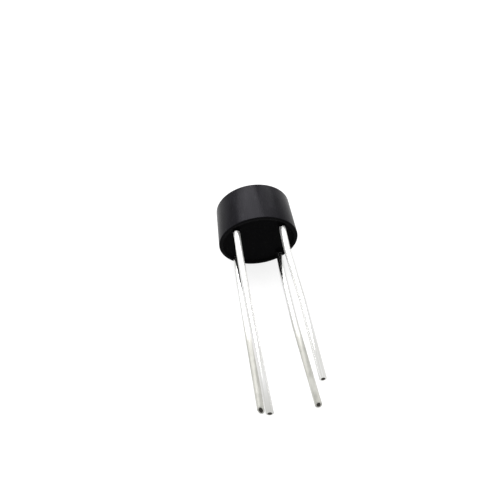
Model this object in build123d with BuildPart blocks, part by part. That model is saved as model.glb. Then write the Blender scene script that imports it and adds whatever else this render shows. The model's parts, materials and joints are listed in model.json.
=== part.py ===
from build123d import *
from math import asin, atan2, cos, hypot, pi, radians, sin, sqrt, tan
import os

# Round single-phase bridge rectifier: a moulded cup filled with resin, four tinned
# copper leads out of its open end, and inside it four diode dice soldered between
# the coined heads of the leads.  All lengths are in millimetres.
#
# The part lies as it comes to rest on a flat surface: on the rim of the cup and on the
# tips of its two lower leads, with the leads towards -Y.

# Leads: round tinned wire on a square grid
lead_d = 0.72
lead_pitch = 5.08
lead_root = 3.0           # from the rim to the first slight bend
lead_mid = 9.5            # from the rim to the second one
lead_bend_r = 14.0
tip_chamfer = 0.05
shear_trim = 0.05         # from the end of the wire to the lowest point of its sheared face

# Each lead is cut to its own length, counted from the rim, and has been bent a little by
# handling: it has wandered sideways by lean at the first bend, by bow at the second one
# and by drift at its tip.  The shears have left its end slanted by cut degrees, facing
# upwards, or turned from there by cut_turn degrees to the left.  The longest lead marks the
# positive output.
plus_length = 20.05
plus_lean = 0.0
plus_bow = 0.12
plus_drift = 0.50
plus_cut = 14
plus_cut_turn = 20
minus_length = 18.6
minus_lean = -0.10
minus_bow = 0.11
minus_drift = 0.77
minus_cut = 30
minus_cut_turn = 0
ac_1_length = 17.65
ac_1_lean = 0.0
ac_1_bow = 0.43
ac_1_drift = 0.69
ac_1_cut = 14
ac_1_cut_turn = 0
ac_2_length = 18.45
ac_2_lean = -0.15
ac_2_bow = 0.0
ac_2_drift = 0.15
ac_2_cut = 38
ac_2_cut_turn = 20

# Heads: the inner end of each lead is bent square, then coined into a flat bar
head_w = 1.2
head_heel_r = 0.55
head_neck = 0.08          # round length between the heel and the coined part
head_corner_r = 0.08
head_end = 0.1
head_slant = 25.0         # degrees that a head turns inwards from the side of the grid

# Diode dice and solder
die_w = 1.15
die_t = 0.26
mesa_bevel = 0.11
solder_t = 0.05
solder_margin = 0.06

# Resin and cup
resin_cover = 0.15        # between the side of a lead and the wall
resin_over = 1.75         # from the rim to the middle of the upper heads
resin_under = 1.85        # from the lower heads to the floor of the cup
resin_recess = 0.14
wall_climb_w = 0.22       # width of the resin that creeps up the wall
collar_h = 0.28           # height of the resin that creeps up a lead
collar_w = 0.24
collar_lip = 0.03
wall = 0.45
floor_t = 0.6
draft = 2.2               # degrees
rim_round = 0.13
end_round = 0.28
inner_round = 0.3

# Derived sizes
lead_r = lead_d / 2
half_pitch = lead_pitch / 2
head_t = pi * lead_r**2 / head_w          # coining keeps the section of the wire
near_depth = resin_over
far_depth = near_depth + head_t + die_t + 2 * solder_t
cup_depth = far_depth + head_t / 2 + resin_under
cup_h = cup_depth + floor_t
rim_r = half_pitch * sqrt(2) + lead_r + resin_cover + wall
end_r = rim_r - cup_h * tan(radians(draft))
bore_r = rim_r - wall
bore_end_r = bore_r - cup_depth * tan(radians(draft))

# Heads cross near their own lead and again next to the following one
near_cross = lead_pitch * sin(radians(head_slant))
far_cross = lead_pitch * cos(radians(head_slant))
neck_end = head_heel_r + head_neck
flat_start = near_cross - head_w / 2
flat_end = far_cross + head_w / 2 + head_end

# Rest pose: the rounded rim and the tip of the minus lead both touch z = 0
edge_r = rim_r - rim_round * (1 + sin(radians(draft))) / cos(radians(draft))
rest_drop = edge_r - half_pitch - lead_r
rest_reach = minus_length - shear_trim + rim_round
rest_tilt = atan2(rest_drop, rest_reach) + asin(rim_round / hypot(rest_drop, rest_reach))
seat_z = edge_r * cos(rest_tilt) + rim_round * (1 - sin(rest_tilt))

# The box of the whole part is centred on Y
front_reach = (plus_length - shear_trim) * cos(rest_tilt) + (half_pitch - lead_r) * sin(rest_tilt)
back_reach = (cup_h - end_round) * cos(rest_tilt) + (end_r - end_round) * sin(rest_tilt) + end_round
seat_y = (front_reach - back_reach) / 2

# Seat: the plane of the rim, x to the right, y up and z out along the leads
seat = Plane(
    origin=(0, seat_y, seat_z),
    x_dir=(1, 0, 0),
    z_dir=(0, -cos(rest_tilt), -sin(rest_tilt)),
)
# Section: the plane through the axis for turned profiles, x outwards and y along the leads
section = Plane(origin=seat.origin, x_dir=seat.x_dir, z_dir=-seat.y_dir)
axis = Axis(seat.origin, seat.z_dir)


def touch_floor(length):
    """Height that the tip of a lower lead is lifted by, so that it just touches z = 0."""
    floor_y = ((length - shear_trim) * sin(rest_tilt) - seat_z) / cos(rest_tilt)
    return floor_y + lead_r + half_pitch


# name, corner of the grid (0 = upper right, then anticlockwise seen from the leads), depth
# of the head, length, the three sideways steps, rise of the tip, slant of the sheared end
leads = [
    (
        "lead_ac_1", 0, far_depth, ac_1_length, (ac_1_lean, ac_1_bow, ac_1_drift),
        0.0, (ac_1_cut, ac_1_cut_turn),
    ),
    (
        "lead_plus", 1, near_depth, plus_length, (plus_lean, plus_bow, plus_drift),
        0.0, (plus_cut, plus_cut_turn),
    ),
    (
        "lead_ac_2", 2, far_depth, ac_2_length, (ac_2_lean, ac_2_bow, ac_2_drift),
        touch_floor(ac_2_length), (ac_2_cut, ac_2_cut_turn),
    ),
    (
        "lead_minus", 3, near_depth, minus_length, (minus_lean, minus_bow, minus_drift),
        touch_floor(minus_length), (minus_cut, minus_cut_turn),
    ),
]


def corner_of(corner):
    """Place of a lead on the seat, one of the corners of the square grid."""
    turn = radians(45 + 90 * corner)
    radius = half_pitch * sqrt(2)
    return radius * cos(turn), radius * sin(turn)


def head_turn(corner):
    """Direction of a head on the seat, in degrees."""
    return 45 + 90 * corner + 180 + 45 - head_slant


def along_head(corner, distance):
    """Point on the centre line of a head, at a distance from its lead."""
    x, y = corner_of(corner)
    turn = radians(head_turn(corner))
    return x + distance * cos(turn), y + distance * sin(turn)


def head_plane(corner, depth, distance):
    """Plane square to a head, with x across the bar and y along the leads."""
    turn = radians(head_turn(corner))
    origin = seat.from_local_coords((*along_head(corner, distance), -depth))
    direction = seat.x_dir * cos(turn) + seat.y_dir * sin(turn)
    return Plane(origin=origin, x_dir=seat.z_dir.cross(direction), z_dir=direction)


os.makedirs("parts", exist_ok=True)


# ---- Leads: one piece of wire each, with its coined head ----
def make_lead(name, corner, depth, length, wander, rise, sheared):
    x, y = corner_of(corner)
    lean, bow, drift = wander
    cut, cut_turn = sheared
    mid_rise = rise * (lead_mid - lead_root) / (length - lead_root)
    coined_from = head_plane(corner, depth, neck_end)
    flat_from = head_plane(corner, depth, flat_start)

    with BuildPart() as lead:
        with BuildLine(seat) as centre_line:
            FilletPolyline(
                (x + drift, y + rise, length),
                (x + bow, y + mid_rise, lead_mid),
                (x + lean, y, lead_root),
                (x, y, -depth),
                (*along_head(corner, neck_end), -depth),
                radius=[lead_bend_r, lead_bend_r, head_heel_r],
            )
        tip = Plane(origin=centre_line.line @ 0, z_dir=centre_line.line % 0)
        with BuildSketch(tip):
            Circle(lead_r)
        sweep()

        # sheared end
        slant = seat.y_dir * cos(radians(cut_turn)) - seat.x_dir * sin(radians(cut_turn))
        lowest = tip.origin + tip.z_dir * shear_trim - slant * lead_r
        outwards = seat.z_dir * cos(radians(cut)) + slant * sin(radians(cut))
        split(bisect_by=Plane(origin=lowest, z_dir=-outwards), keep=Keep.TOP)
        tip_face = lead.faces().sort_by(axis)[-1]
        chamfer(tip_face.edges(), tip_chamfer)

        # the round wire spreads into the flat bar
        with BuildSketch(coined_from):
            Circle(lead_r)
        with BuildSketch(flat_from):
            RectangleRounded(head_w, head_t, head_corner_r)
        loft()
        with BuildSketch(flat_from):
            RectangleRounded(head_w, head_t, head_corner_r)
        extrude(amount=flat_end - flat_start)

    lead.part.label = name
    export_step(lead.part, f"parts/{name}.step")
    return lead.part


inner_pieces = [make_lead(*lead) for lead in leads]


# ---- Dice and solder: one stack at each crossing, between an upper and a lower head ----
# The bevelled mesa face is the anode: it looks away from the plus head and towards the
# minus head.
stack_top = -(near_depth + head_t / 2)
die_top = stack_top - solder_t
die_bottom = die_top - die_t
stack_bottom = die_bottom - solder_t


def make_die(name, corner, mesa_up):
    with BuildPart() as die:
        with BuildSketch(seat.offset(die_bottom)):
            with Locations(along_head(corner, near_cross)):
                Rectangle(die_w, die_w, rotation=head_turn(corner))
        extrude(amount=die_t)
        mesa = die.faces().sort_by(axis)[-1 if mesa_up else 0]
        chamfer(mesa.edges(), mesa_bevel)

    die.part.label = name
    export_step(die.part, f"parts/{name}.step")
    return die.part


def make_solder(name, corner, bottom, on_mesa):
    bevel = mesa_bevel if on_mesa else 0.0
    width = die_w - 2 * (bevel + solder_margin)
    with BuildPart() as solder:
        with BuildSketch(seat.offset(bottom)):
            with Locations(along_head(corner, near_cross)):
                Rectangle(width, width, rotation=head_turn(corner))
        extrude(amount=solder_t)

    solder.part.label = name
    export_step(solder.part, f"parts/{name}.step")
    return solder.part


for number in range(4):
    mesa_up = number >= 2
    inner_pieces.append(make_die(f"diode_die_{number + 1}", number, mesa_up))
    inner_pieces.append(make_solder(f"solder_upper_{number + 1}", number, die_top, mesa_up))
    inner_pieces.append(make_solder(f"solder_lower_{number + 1}", number, stack_bottom, not mesa_up))


# ---- Cup: moulded shell, drafted from its rim to its closed end ----
with BuildPart() as cup:
    with BuildSketch(section) as cup_profile:
        with BuildLine():
            Polyline(
                (0, -cup_h),
                (end_r, -cup_h),
                (rim_r, 0),
                (bore_r, 0),
                (bore_end_r, -cup_depth),
                (0, -cup_depth),
                close=True,
            )
        make_face()
        inner_corner = cup_profile.vertices().group_by(Axis.Y)[1].sort_by(Axis.X)[-1]
        fillet(inner_corner, inner_round)
        rim_corner = cup_profile.vertices().sort_by(Axis.X)[-1]
        fillet(rim_corner, rim_round)
        end_corner = cup_profile.vertices().group_by(Axis.Y)[0].sort_by(Axis.X)[-1]
        fillet(end_corner, end_round)
    revolve(axis=axis)

cup.part.label = "case"
export_step(cup.part, "parts/case.step")


# ---- Resin: poured in around the leads, it creeps up each of them and up the wall ----
resin_top_r = bore_r - resin_recess * tan(radians(draft))

with BuildPart() as resin:
    # collars at the leads, kept inside the bore
    for corner in range(4):
        lead_x, lead_y = corner_of(corner)
        root = Plane(
            origin=seat.from_local_coords((lead_x, lead_y, -resin_recess)),
            x_dir=section.x_dir,
            z_dir=section.z_dir,
        )
        with BuildSketch(root):
            with BuildLine():
                Polyline(
                    (lead_r + collar_lip, collar_h),
                    (0, collar_h),
                    (0, 0),
                    (lead_r + collar_w, 0),
                )
                TangentArc((lead_r + collar_w, 0), (lead_r + collar_lip, collar_h), tangent=(-1, 0))
            make_face()
        revolve(axis=Axis(root.origin, seat.z_dir))
    with BuildSketch(section):
        Polygon(
            (0, -resin_recess),
            (resin_top_r, -resin_recess),
            (bore_r, 0),
            (bore_r, collar_h),
            (0, collar_h),
            align=None,
        )
    revolve(axis=axis, mode=Mode.INTERSECT)

    # the plug that fills the cup
    with BuildSketch(section) as plug_profile:
        with BuildLine():
            Polyline(
                (bore_r, 0),
                (bore_end_r, -cup_depth),
                (0, -cup_depth),
                (0, -resin_recess),
                (bore_r - wall_climb_w, -resin_recess),
            )
            TangentArc((bore_r - wall_climb_w, -resin_recess), (bore_r, 0), tangent=(1, 0))
        make_face()
        floor_corner = plug_profile.vertices().group_by(Axis.Y)[0].sort_by(Axis.X)[-1]
        fillet(floor_corner, inner_round)
    revolve(axis=axis)

    for piece in inner_pieces:
        add(piece, mode=Mode.SUBTRACT)

resin.part.label = "potting_resin"
export_step(resin.part, "parts/potting_resin.step")
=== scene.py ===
import bmesh
import bpy
import json
from math import atan2, copysign, cos, pi, radians, sin, tan
from mathutils import Matrix, Vector


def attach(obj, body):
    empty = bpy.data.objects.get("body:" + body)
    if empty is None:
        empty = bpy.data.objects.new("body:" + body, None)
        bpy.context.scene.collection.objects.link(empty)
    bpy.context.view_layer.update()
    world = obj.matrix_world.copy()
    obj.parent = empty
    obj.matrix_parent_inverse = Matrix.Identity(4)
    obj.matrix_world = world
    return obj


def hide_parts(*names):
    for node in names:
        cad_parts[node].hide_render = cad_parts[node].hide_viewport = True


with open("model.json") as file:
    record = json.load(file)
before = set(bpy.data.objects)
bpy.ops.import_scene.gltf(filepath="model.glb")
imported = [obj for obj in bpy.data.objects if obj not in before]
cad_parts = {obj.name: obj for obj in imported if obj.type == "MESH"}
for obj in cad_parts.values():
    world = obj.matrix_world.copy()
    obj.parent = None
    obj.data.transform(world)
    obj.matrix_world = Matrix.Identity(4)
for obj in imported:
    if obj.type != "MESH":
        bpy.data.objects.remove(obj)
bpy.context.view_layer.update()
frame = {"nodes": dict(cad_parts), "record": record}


# ---- Camera ----
# The part lies with its leads towards the camera, which looks down on it from in front and a
# little to the left.  The view is set out from the middle of the cup's rim.
mounts = {mount["name"]: mount for mount in frame["record"]["mounts"]}
out = Vector(mounts["board_seat"]["axis"]).normalized()
end_centre = Vector(mounts["closed_end"]["pos_m"])
cup_height = (Vector(mounts["board_seat"]["pos_m"]) - end_centre).dot(out)
rim_centre = end_centre + out * cup_height

view_elevation = radians(50.6)
view_turn = radians(7.9)
view_distance = 0.0550
focal_length = 34.56
film_width = 36
nearest_seen = 0.001
aim_offset = Vector((-0.00108, -0.00054, -0.00056))
aim = rim_centre + aim_offset
look = Vector((
    cos(view_elevation) * sin(view_turn),
    cos(view_elevation) * cos(view_turn),
    -sin(view_elevation),
))

bpy.ops.object.camera_add(location=aim - look * view_distance)
camera = bpy.context.object
camera.rotation_euler = look.to_track_quat("-Z", "Y").to_euler()
camera.data.lens = focal_length
camera.data.sensor_width = film_width
camera.data.clip_start = nearest_seen
bpy.context.scene.camera = camera
bpy.context.scene.view_settings.view_transform = "Standard"


# ---- Leads ----
# Four lengths of soft copper wire, hot-tinned.  The inner end of each is bent square and
# coined into a flat bar, and the outer end is sheared off at a slant.  Handling has bent
# each of them a little in two places.  The plus lead is the longest.
wire_radius = mounts["lead_plus_pin"]["dims"]["r_mm"] / 1000
wire_sides = 32
heel_radius = 0.00055
neck_length = 0.00008
bar_width = 0.0012
bar_thickness = pi * wire_radius**2 / bar_width
bar_corner = 0.00008
bar_end = 0.0001
grid_pitch = 0.00508
bar_slant = radians(25)
head_turn = radians(225) - bar_slant
upper_head_depth = 0.00175
die_stack = 0.00036
lower_head_depth = upper_head_depth + bar_thickness + die_stack
first_bend = 0.003
second_bend = 0.0095
bend_radius = 0.014
tip_chamfer = 0.00005
torn_lip = 0.0001
same_place = 1e-6
plane_tolerance = radians(8)

# The tin changes with its distance out from the rim.  For each millimetre that a point is
# below the middle of the cup it counts as two further out, or 2.6 for scraping, so the lower
# leads darken and roughen sooner than the upper ones.  The darkening is painted shade, for the
# tin's reflection that grows dimmer towards the tips and on the lower leads.
reach_by_height = 2
scrape_by_height = 2.6
flux_start = -0.004
flux_end = 0.002
shade_start = 0.0112
shade_turn = 0.016
shade_end = 0.0235
scrape_start = 0.0124
scrape_end = 0.017

# The part's own frame: x to the right, y up and z out along the leads, from the rim
right = Vector((1, 0, 0))
part_axes = Matrix((right, out.cross(right), out)).transposed()
part_frame = Matrix.Translation(rim_centre) @ part_axes.to_4x4()


def work_on(piece):
    """Opens one piece for shaping, with nothing else selected."""
    if bpy.context.mode != "OBJECT":
        bpy.ops.object.mode_set(mode="OBJECT")
    bpy.ops.object.select_all(action="DESELECT")
    piece.select_set(True)
    bpy.context.view_layer.objects.active = piece
    bpy.ops.object.mode_set(mode="EDIT")


def middle(element):
    """Middle of a face or an edge."""
    return sum((corner.co for corner in element.verts), Vector()) / len(element.verts)


def length_along(edge, axis):
    """How far an edge goes along an axis of its piece: 0 is x, 1 is y and 2 is z."""
    first, last = edge.verts
    return abs(first.co[axis] - last.co[axis])


def pick(piece, kind, wanted):
    """Selects the faces or edges that are wanted, and nothing else."""
    bpy.ops.mesh.select_mode(type=kind)
    bpy.ops.mesh.select_all(action="DESELECT")
    mesh = bmesh.from_edit_mesh(piece.data)
    elements = mesh.faces if kind == "FACE" else mesh.edges
    for element in elements:
        element.select_set(wanted(element))
    bmesh.update_edit_mesh(piece.data)


def stretch(x=0.0, y=0.0, z=0.0):
    """Extrudes what is selected by a step."""
    bpy.ops.mesh.extrude_region_move(TRANSFORM_OT_translate={"value": (x, y, z)})


def lay_in_place(piece, place, smooth_angle):
    """Ends the shaping: outward normals, smooth shading and the piece's place in its mesh."""
    bpy.ops.mesh.select_all(action="SELECT")
    bpy.ops.mesh.normals_make_consistent(inside=False)
    bpy.ops.object.mode_set(mode="OBJECT")
    piece.matrix_world = part_frame @ place
    bpy.ops.object.transform_apply(location=True, rotation=True, scale=True)
    bpy.ops.object.shade_smooth_by_angle(angle=smooth_angle)


def add_node(tree, kind, **settings):
    """Adds a node.  A setting named like an input sets it, another one sets the node."""
    node = tree.nodes.new("ShaderNode" + kind)
    for name, value in settings.items():
        label = name.replace("_", " ").title()
        if label in node.inputs:
            node.inputs[label].default_value = value
        else:
            setattr(node, name, value)
    return node


def new_finish(name):
    """A new material with its node tree and its shader."""
    material = bpy.data.materials.new(name)
    material.use_nodes = True
    return material, material.node_tree, material.node_tree.nodes["Principled BSDF"]


def part_place(tree, stretch_along=1.0):
    """Object coordinates turned into the part's own frame, with z drawn out along the leads."""
    coordinates = add_node(tree, "TexCoord")
    to_part = part_frame.inverted()
    shift = to_part.to_translation()
    turned = add_node(tree, "Mapping", Location=shift, Rotation=to_part.to_euler())
    tree.links.new(coordinates.outputs["Object"], turned.inputs["Vector"])
    if stretch_along == 1.0:
        return turned.outputs["Vector"]
    drawn = add_node(tree, "Mapping", Scale=(1, 1, 1 / stretch_along))
    tree.links.new(turned.outputs["Vector"], drawn.inputs["Vector"])
    return drawn.outputs["Vector"]


def noise(tree, place, grain, detail=2.0):
    """Soft noise whose spots are about as wide as the grain, in metres."""
    cloud = add_node(tree, "TexNoise", Scale=1 / grain, Detail=detail)
    tree.links.new(place, cloud.inputs["Vector"])
    return cloud.outputs["Fac"]


def ramp(tree, factor, first, last):
    """Colour ramp between two stops, each a place and a colour."""
    node = add_node(tree, "ValToRGB")
    tree.links.new(factor, node.inputs["Fac"])
    for stop, (place, colour) in zip(node.color_ramp.elements, (first, last)):
        stop.position = place
        stop.color = (*colour, 1)
    return node.outputs["Color"]


def spread(tree, factor, low, high, start=0.3, end=0.7):
    """Number from low to high as the factor goes from start to end."""
    node = add_node(tree, "MapRange")
    tree.links.new(factor, node.inputs["Value"])
    node.inputs["From Min"].default_value = start
    node.inputs["From Max"].default_value = end
    node.inputs["To Min"].default_value = low
    node.inputs["To Max"].default_value = high
    return node.outputs["Result"]


def blend(tree, factor, first, second):
    """Mixes two colours by a factor, through the colour sockets of a Mix node."""
    node = add_node(tree, "Mix", data_type="RGBA")
    colours = [socket for socket in node.inputs if socket.type == "RGBA"]
    mixed = [socket for socket in node.outputs if socket.type == "RGBA"]
    tree.links.new(factor, node.inputs[0])
    tree.links.new(first, colours[0])
    tree.links.new(second, colours[1])
    return mixed[0]


def combine(tree, operation, first, second):
    """Adds or multiplies two numbers."""
    node = add_node(tree, "Math", operation=operation)
    tree.links.new(first, node.inputs[0])
    tree.links.new(second, node.inputs[1])
    return node.outputs["Value"]


def relief(tree, shader, height, depth, strength=1.0):
    """Bump of a depth in metres."""
    node = add_node(tree, "Bump", Strength=strength, Distance=depth)
    tree.links.new(height, node.inputs["Height"])
    tree.links.new(node.outputs["Normal"], shader.inputs["Normal"])


def distance_out(tree, place, by_height):
    """Distance out along the leads, with a share of the height taken off it."""
    node = add_node(tree, "VectorMath", operation="DOT_PRODUCT")
    tree.links.new(place, node.inputs[0])
    node.inputs[1].default_value = (0, -by_height, 1)
    return node.outputs["Value"]


def tinned_copper():
    """Bright tin with fine drawing lines.  Its colour darkens towards the tips, and sooner on the
    two lower leads, as painted shade for the tin's dimmer reflection there, and the bench has
    scraped the two lower leads dull.  Flux leaves the upper leads satin where they come out of
    the resin."""
    material, tree, shader = new_finish("tinned_copper")
    shader.inputs["Metallic"].default_value = 1.0
    plain_place = part_place(tree)
    lines = noise(tree, part_place(tree, stretch_along=30), grain=0.00015, detail=1.5)
    streaks = noise(tree, part_place(tree, stretch_along=40), grain=0.00045)
    clouds = noise(tree, plain_place, grain=0.0015)
    bright = ramp(tree, lines, (0.3, (0.88, 0.88, 0.85)), (0.65, (0.97, 0.97, 0.96)))
    dull = ramp(tree, streaks, (0.35, (0.40, 0.40, 0.37)), (0.62, (0.67, 0.665, 0.63)))

    weighted_reach = distance_out(tree, plain_place, reach_by_height)
    # Painted shade: the colour darkens towards the tips, and sooner on the lower leads, for the tin's
    # dimmer reflection there.
    shaded = spread(tree, weighted_reach, low=0.0, high=0.85, start=shade_start, end=shade_turn)
    shaded_more = spread(tree, weighted_reach, low=0.0, high=0.15, start=shade_turn, end=shade_end)
    painted_shade = combine(tree, "ADD", shaded, shaded_more)
    painted_shade = combine(tree, "MULTIPLY", painted_shade, spread(tree, clouds, low=0.85, high=1.0))
    tree.links.new(blend(tree, painted_shade, bright, dull), shader.inputs["Base Color"])

    scrape_reach = distance_out(tree, plain_place, scrape_by_height)
    scraped = spread(tree, scrape_reach, low=0.0, high=1.0, start=scrape_start, end=scrape_end)
    scraped = combine(tree, "MULTIPLY", scraped, spread(tree, clouds, low=0.8, high=1.0))
    fluxed = spread(tree, weighted_reach, low=0.33, high=0.0, start=flux_start, end=flux_end)
    dulled = spread(tree, scraped, low=0.13, high=0.85, start=0.0, end=1.0)
    roughness = combine(tree, "ADD", fluxed, dulled)
    roughness = combine(tree, "ADD", roughness, spread(tree, lines, low=0.0, high=0.1))
    tree.links.new(roughness, shader.inputs["Roughness"])
    relief(tree, shader, lines, depth=0.000005, strength=0.15)
    return material


def sheared_copper():
    """Bare copper of a cut end, painted dark as shade for the dim surroundings that it reflects."""
    material, tree, shader = new_finish("sheared_copper")
    shader.inputs["Metallic"].default_value = 1.0
    torn = noise(tree, part_place(tree), grain=0.00005, detail=4)
    # Painted shade: the cut face is coloured dark for the dim surroundings that it reflects.
    shaded_cut = ramp(tree, torn, (0.3, (0.030, 0.029, 0.026)), (0.7, (0.09, 0.084, 0.074)))
    tree.links.new(shaded_cut, shader.inputs["Base Color"])
    tree.links.new(spread(tree, torn, low=0.45, high=0.7), shader.inputs["Roughness"])
    relief(tree, shader, torn, depth=0.00001)
    return material


def coin_head():
    """The inner end of a lead: wire turned square on its heel and coined into a bar along x."""
    bar_start = grid_pitch * sin(bar_slant) - bar_width / 2
    bar_stop = grid_pitch * cos(bar_slant) + bar_width / 2 + bar_end
    bpy.ops.object.select_all(action="DESELECT")
    bpy.ops.mesh.primitive_circle_add(vertices=wire_sides, radius=wire_radius)
    head = bpy.context.object
    work_on(head)
    bpy.ops.mesh.select_all(action="SELECT")
    bpy.ops.transform.translate(value=(0, 0, heel_radius))
    bpy.ops.mesh.spin(steps=8, angle=radians(90), center=(heel_radius, 0, heel_radius), axis=(0, 1, 0))
    stretch(x=neck_length)

    bpy.ops.mesh.primitive_cube_add(
        size=1,
        location=((bar_start + bar_stop) / 2, 0, 0),
        scale=(bar_stop - bar_start, bar_width, bar_thickness),
    )

    def runs_along_bar(edge):
        """True for an edge that goes from one end of the bar to the other."""
        return length_along(edge, axis=0) > bar_width and middle(edge).x > bar_start

    pick(head, "EDGE", runs_along_bar)
    bpy.ops.mesh.bevel(offset=bar_corner, segments=7, affect="EDGES")
    pick(head, "FACE", lambda face: abs(middle(face).x - bar_start) < same_place)
    bpy.ops.mesh.delete(type="ONLY_FACE")
    pick(head, "EDGE", lambda edge: edge.is_boundary and middle(edge).x > heel_radius)
    bpy.ops.mesh.bridge_edge_loops()
    bpy.ops.object.mode_set(mode="OBJECT")
    return head


def bend_wire(ring, corner, goal):
    """Draws the open ring of a wire out to a corner and round it, ready for the leg to a goal."""
    before = (corner - ring).normalized()
    after = (goal - corner).normalized()
    angle = before.angle(after)
    side = (after - before * before.dot(after)).normalized()
    setback = bend_radius * tan(angle / 2)
    start = corner - before * setback
    stretch(*(start - ring))
    bpy.ops.mesh.spin(steps=2, angle=angle, center=start + side * bend_radius, axis=side.cross(before))
    return corner + after * setback


def draw_lead(name, head_depth, lean, slant, slant_turn):
    """A copy of the coined head, drawn out to its own lead with its bends and slanted tip."""
    pin = mounts[name + "_pin"]
    to_part = part_frame.inverted()
    pin_middle = to_part @ Vector(pin["pos_m"])
    run = to_part.to_3x3() @ Vector(pin["axis"])
    knee = pin_middle + run * (second_bend - pin_middle.z) / run.z
    root = Vector((copysign(grid_pitch / 2, knee.x), copysign(grid_pitch / 2, knee.y), 0))
    turn = atan2(root.y, root.x) + head_turn
    place = Matrix.Translation(root) @ Matrix.Rotation(turn, 4, "Z")

    # The sheared face looks up, or a little to the left, so the wire is longest underneath
    upwards = Vector((-sin(slant_turn), cos(slant_turn), 0))
    reach = pin["dims"]["length_mm"] / 1000 / 2 + 2 * wire_radius * tan(slant)
    lowest = pin_middle + run * reach - upwards * wire_radius
    face_normal = Vector((0, 0, cos(slant))) + upwards * sin(slant)

    inwards = place.inverted()
    knee = inwards @ knee
    end = inwards @ (pin_middle + run * (reach + 2 * tip_chamfer))
    lowest = inwards @ lowest
    face_normal = inwards.to_3x3() @ face_normal
    bow = inwards @ (root + Vector((lean, 0, first_bend)))

    lead = coined_head.copy()
    lead.data = coined_head.data.copy()
    lead.name = name.replace("lead", "wire")
    bpy.context.collection.objects.link(lead)
    work_on(lead)
    bpy.ops.mesh.select_all(action="SELECT")
    bpy.ops.transform.translate(value=(0, 0, -head_depth))
    pick(lead, "EDGE", lambda edge: edge.is_boundary)
    ring = bend_wire(Vector((0, 0, heel_radius - head_depth)), bow, knee)
    ring = bend_wire(ring, knee, end)
    stretch(*(end - ring))
    bpy.ops.mesh.select_all(action="SELECT")
    bpy.ops.mesh.bisect(
        plane_co=lowest,
        plane_no=face_normal,
        use_fill=True,
        clear_outer=True,
        threshold=same_place / 10,
    )

    def sheared(face):
        """True for the many-sided face that lies in the plane of the cut."""
        in_plane = abs(face.normal.dot(face_normal)) > cos(plane_tolerance)
        return in_plane and len(face.verts) > wire_sides / 2

    pick(lead, "FACE", sheared)
    bpy.ops.mesh.inset(thickness=tip_chamfer, depth=tip_chamfer * cos(slant))
    bpy.ops.mesh.inset(thickness=torn_lip)
    lead.data.materials.append(tin)
    lead.data.materials.append(cut_end)
    lead.active_material_index = 1
    bpy.ops.object.material_slot_assign()
    lay_in_place(lead, place, smooth_angle=radians(35))
    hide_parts(name)
    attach(lead, "root")


tin = tinned_copper()
cut_end = sheared_copper()
coined_head = coin_head()
draw_lead("lead_plus", upper_head_depth, lean=0.0, slant=radians(14), slant_turn=radians(20))
draw_lead("lead_minus", upper_head_depth, lean=-0.0001, slant=radians(30), slant_turn=0.0)
draw_lead("lead_ac_1", lower_head_depth, lean=0.0, slant=radians(14), slant_turn=0.0)
draw_lead("lead_ac_2", lower_head_depth, lean=-0.00015, slant=radians(38), slant_turn=radians(20))
bpy.data.objects.remove(coined_head)


# ---- Dice and solder ----
# Four silicon chips with bevelled mesa edges, each soldered between an upper and a lower
# coined bar with high-lead solder.  The resin hides them.


def finish_node(node, material):
    """Gives a node of the frame its finish."""
    node.data.materials.clear()
    node.data.materials.append(material)


def diced_silicon():
    """Grey silicon with the fine marks of sawing and a glassy skin."""
    material, tree, shader = new_finish("diced_silicon")
    sawn = noise(tree, part_place(tree, stretch_along=0.2), grain=0.00004, detail=3)
    grey = ramp(tree, sawn, (0.3, (0.15, 0.16, 0.19)), (0.7, (0.24, 0.25, 0.28)))
    tree.links.new(grey, shader.inputs["Base Color"])
    tree.links.new(spread(tree, sawn, low=0.2, high=0.35), shader.inputs["Roughness"])
    relief(tree, shader, sawn, depth=0.000003)
    return material


def lead_solder():
    """Dull grained high-lead solder."""
    material, tree, shader = new_finish("lead_solder")
    shader.inputs["Metallic"].default_value = 1.0
    grains = noise(tree, part_place(tree), grain=0.00006, detail=3)
    grey = ramp(tree, grains, (0.3, (0.42, 0.42, 0.43)), (0.7, (0.60, 0.60, 0.59)))
    tree.links.new(grey, shader.inputs["Base Color"])
    tree.links.new(spread(tree, grains, low=0.35, high=0.55), shader.inputs["Roughness"])
    relief(tree, shader, grains, depth=0.000004)
    return material


silicon = diced_silicon()
solder = lead_solder()
for name, node in frame["nodes"].items():
    if name.startswith("diode_die"):
        finish_node(node, silicon)
    elif name.startswith("solder"):
        finish_node(node, solder)


# ---- Cup ----
# A shallow cup moulded in black flame-proof plastic.  Its wall is drafted so that it leaves
# the mould, both outer edges are rounded, and its closed end is plain.
cup_sides = 160
circle_tolerance = 0.000005
rim_radius = 0.0045523
end_radius = 0.0043575
wall_thickness = 0.00045
floor_thickness = 0.0006
mould_draft = tan(radians(2.2))
rim_rounding = 0.00013
end_rounding = 0.00028
inner_rounding = 0.0003
bore_edge = 0.00002
shaded_rim_depth = rim_rounding / 3


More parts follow.
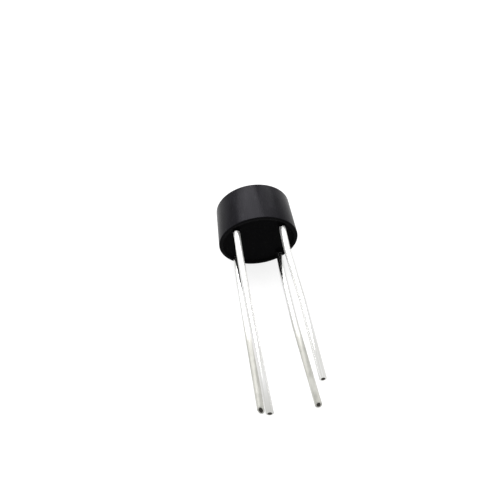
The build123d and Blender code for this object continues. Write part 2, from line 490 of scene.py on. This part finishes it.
def moulded_black():
    """Black plastic as it leaves the mould: a fine matt grain, faint flow marks, drag lines and
    scuffs."""
    material, tree, shader = new_finish("moulded_black")
    plain_place = part_place(tree)
    grain = noise(tree, plain_place, grain=0.00006, detail=4)
    flow = noise(tree, part_place(tree, stretch_along=2), grain=0.0011, detail=3)
    drag = noise(tree, part_place(tree, stretch_along=14), grain=0.00035, detail=3)
    scuffs = noise(tree, part_place(tree, stretch_along=3), grain=0.00022, detail=4)
    black = ramp(tree, flow, (0.35, (0.0048, 0.0045, 0.0060)), (0.65, (0.0088, 0.0084, 0.0106)))
    worn = ramp(tree, grain, (0.3, (0.020, 0.019, 0.022)), (0.7, (0.035, 0.034, 0.038)))
    rubbed = spread(tree, scuffs, low=0.0, high=0.5, start=0.62, end=0.78)
    tree.links.new(blend(tree, rubbed, black, worn), shader.inputs["Base Color"])
    tree.links.new(spread(tree, drag, low=0.22, high=0.32), shader.inputs["Roughness"])
    shader.inputs["Specular IOR Level"].default_value = 0.09
    shader.inputs["Specular Tint"].default_value = (0.92, 0.90, 1.0, 1.0)
    relief(tree, shader, grain, depth=0.000004, strength=0.6)
    return material


def shaded_rim_black():
    """The cup's rim, in a darker copy of the black that paints shade on it, with a weaker and rougher
    reflection.
    """
    material, tree, shader = new_finish("shaded_rim_black")
    rim_noise = noise(tree, part_place(tree), grain=0.00012, detail=3)
    # Painted shade: the rim's black is darker than the wall's.
    rim_shade = ramp(tree, rim_noise, (0.3, (0.0014, 0.0013, 0.0017)), (0.7, (0.0040, 0.0038, 0.0047)))
    tree.links.new(rim_shade, shader.inputs["Base Color"])
    tree.links.new(spread(tree, rim_noise, low=0.4, high=0.55), shader.inputs["Roughness"])
    shader.inputs["Specular IOR Level"].default_value = 0.03
    relief(tree, shader, rim_noise, depth=0.000005)
    return material


def mould_cup():
    """A drum drafted to its closed end, bored out from the rim, with its edges rounded."""
    cup_depth = cup_height - floor_thickness
    bore_radius = rim_radius - wall_thickness
    floor_radius = bore_radius - cup_depth * mould_draft
    drafted = end_radius / rim_radius
    narrowing = 1 - cup_depth * mould_draft / bore_radius
    bpy.ops.object.select_all(action="DESELECT")
    bpy.ops.mesh.primitive_cylinder_add(vertices=cup_sides, radius=rim_radius, depth=cup_height)
    cup = bpy.context.object
    cup.name = "moulded_cup"
    work_on(cup)
    bpy.ops.mesh.select_all(action="SELECT")
    bpy.ops.transform.translate(value=(0, 0, -cup_height / 2))
    pick(cup, "FACE", lambda face: middle(face).z < -cup_height + same_place)
    bpy.ops.transform.resize(value=(drafted, drafted, 1))
    pick(cup, "FACE", lambda face: middle(face).z > -same_place)
    bpy.ops.mesh.inset(thickness=wall_thickness)
    stretch(z=-cup_depth)
    bpy.ops.transform.resize(value=(narrowing, narrowing, 1))

    def round_off(radius, height, rounding, segments):
        """Rounds the circular edge that has this radius and height."""
        def on_circle(edge):
            place = middle(edge)
            level = abs(place.z - height) < same_place and length_along(edge, axis=2) < same_place
            return level and abs(place.xy.length - radius) < circle_tolerance

        pick(cup, "EDGE", on_circle)
        bpy.ops.mesh.bevel(offset=rounding, segments=segments)

    round_off(floor_radius, -cup_depth, inner_rounding, segments=6)
    round_off(end_radius, -cup_height, end_rounding, segments=8)
    round_off(rim_radius, 0, rim_rounding, segments=6)
    round_off(bore_radius, 0, bore_edge, segments=2)
    cup.data.materials.append(moulded_black())
    cup.data.materials.append(shaded_rim_black())
    # The rim's faces take the darker black, a painted shade.
    pick(cup, "FACE", lambda face: middle(face).z > -shaded_rim_depth)
    cup.active_material_index = 1
    bpy.ops.object.material_slot_assign()
    lay_in_place(cup, Matrix.Identity(4), smooth_angle=radians(30))
    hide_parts("case")
    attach(cup, "root")


mould_cup()


# ---- Potting resin ----
# Black filled epoxy, poured into the cup round the leads and cured.  It creeps a little way
# up the wall and up each lead.


def cured_resin():
    """Near-black resin with a slightly rippled skin and fine pits."""
    material, tree, shader = new_finish("cured_resin")
    place = part_place(tree)
    ripple = noise(tree, place, grain=0.0009, detail=2)
    pits = noise(tree, place, grain=0.00009, detail=3)
    black = ramp(tree, pits, (0.3, (0.0015, 0.0015, 0.0018)), (0.7, (0.0032, 0.0031, 0.0036)))
    tree.links.new(black, shader.inputs["Base Color"])
    tree.links.new(spread(tree, pits, low=0.5, high=0.68), shader.inputs["Roughness"])
    shader.inputs["Specular IOR Level"].default_value = 0.02
    relief(tree, shader, ripple, depth=0.00003)
    return material


finish_node(frame["nodes"]["potting_resin"], cured_resin())


# ---- Floor, world and lamps ----
# A white sweep under soft light: one large lamp behind and above, a weaker one beside it,
# and an even white surround.
sweep_width = 1.2
paper_tone = 0.3
surround_light = 0.3

bpy.ops.object.select_all(action="DESELECT")
bpy.ops.mesh.primitive_plane_add(size=sweep_width)
floor = bpy.context.object
floor.name = "floor"


def seen_directly(tree, camera_strength, gloss_strength):
    """Strength for rays from the camera and through glass, and for reflected rays."""
    ray = add_node(tree, "LightPath")
    direct = add_node(tree, "Math", operation="MAXIMUM")
    tree.links.new(ray.outputs["Is Camera Ray"], direct.inputs[0])
    tree.links.new(ray.outputs["Is Transmission Ray"], direct.inputs[1])
    full = add_node(tree, "Math", operation="MULTIPLY")
    tree.links.new(direct.outputs["Value"], full.inputs[0])
    full.inputs[1].default_value = camera_strength
    total = add_node(tree, "Math", operation="MULTIPLY_ADD")
    tree.links.new(ray.outputs["Is Glossy Ray"], total.inputs[0])
    total.inputs[1].default_value = gloss_strength
    tree.links.new(full.outputs["Value"], total.inputs[2])
    return total.outputs["Value"]


paper = bpy.data.materials.new("white_sweep")
paper.use_nodes = True
tree = paper.node_tree
tree.nodes.clear()
matt = add_node(tree, "BsdfDiffuse", Color=(paper_tone, paper_tone, paper_tone, 1))
glow = add_node(tree, "Emission", Color=(1, 1, 1, 1))
seen = seen_directly(tree, camera_strength=0.83, gloss_strength=0.5)
tree.links.new(seen, glow.inputs["Strength"])
both = add_node(tree, "AddShader")
surface = add_node(tree, "OutputMaterial")
tree.links.new(matt.outputs["BSDF"], both.inputs[0])
tree.links.new(glow.outputs["Emission"], both.inputs[1])
tree.links.new(both.outputs["Shader"], surface.inputs["Surface"])
floor.data.materials.append(paper)

surround = bpy.data.worlds.new("white_surround")
bpy.context.scene.world = surround
surround.use_nodes = True
tree = surround.node_tree
background = tree.nodes["Background"]
background.inputs["Color"].default_value = (1, 1, 1, 1)
level = add_node(tree, "Math", operation="ADD")
level.inputs[1].default_value = surround_light
seen = seen_directly(tree, camera_strength=1 - surround_light, gloss_strength=0.5)
tree.links.new(seen, level.inputs[0])
tree.links.new(level.outputs["Value"], background.inputs["Strength"])


def hang_lamp(name, turn, elevation, distance, width, height, radiance):
    """A soft box that faces the part.  Its turn goes from straight behind to the right."""
    direction = Vector((
        cos(elevation) * sin(turn),
        cos(elevation) * cos(turn),
        sin(elevation),
    ))
    bpy.ops.object.light_add(type="AREA", location=rim_centre + direction * distance)
    lamp = bpy.context.object
    lamp.name = name
    lamp.rotation_euler = direction.to_track_quat("Z", "Y").to_euler()
    lamp.data.shape = "RECTANGLE"
    lamp.data.size = width
    lamp.data.size_y = height
    lamp.data.energy = radiance * pi * width * height


hang_lamp(
    "key_lamp",
    turn=radians(-22),
    elevation=radians(60),
    distance=0.4,
    width=0.36,
    height=0.40,
    radiance=5.0,
)
hang_lamp(
    "side_lamp",
    turn=radians(36),
    elevation=radians(40),
    distance=0.4,
    width=0.14,
    height=0.30,
    radiance=1.8,
)
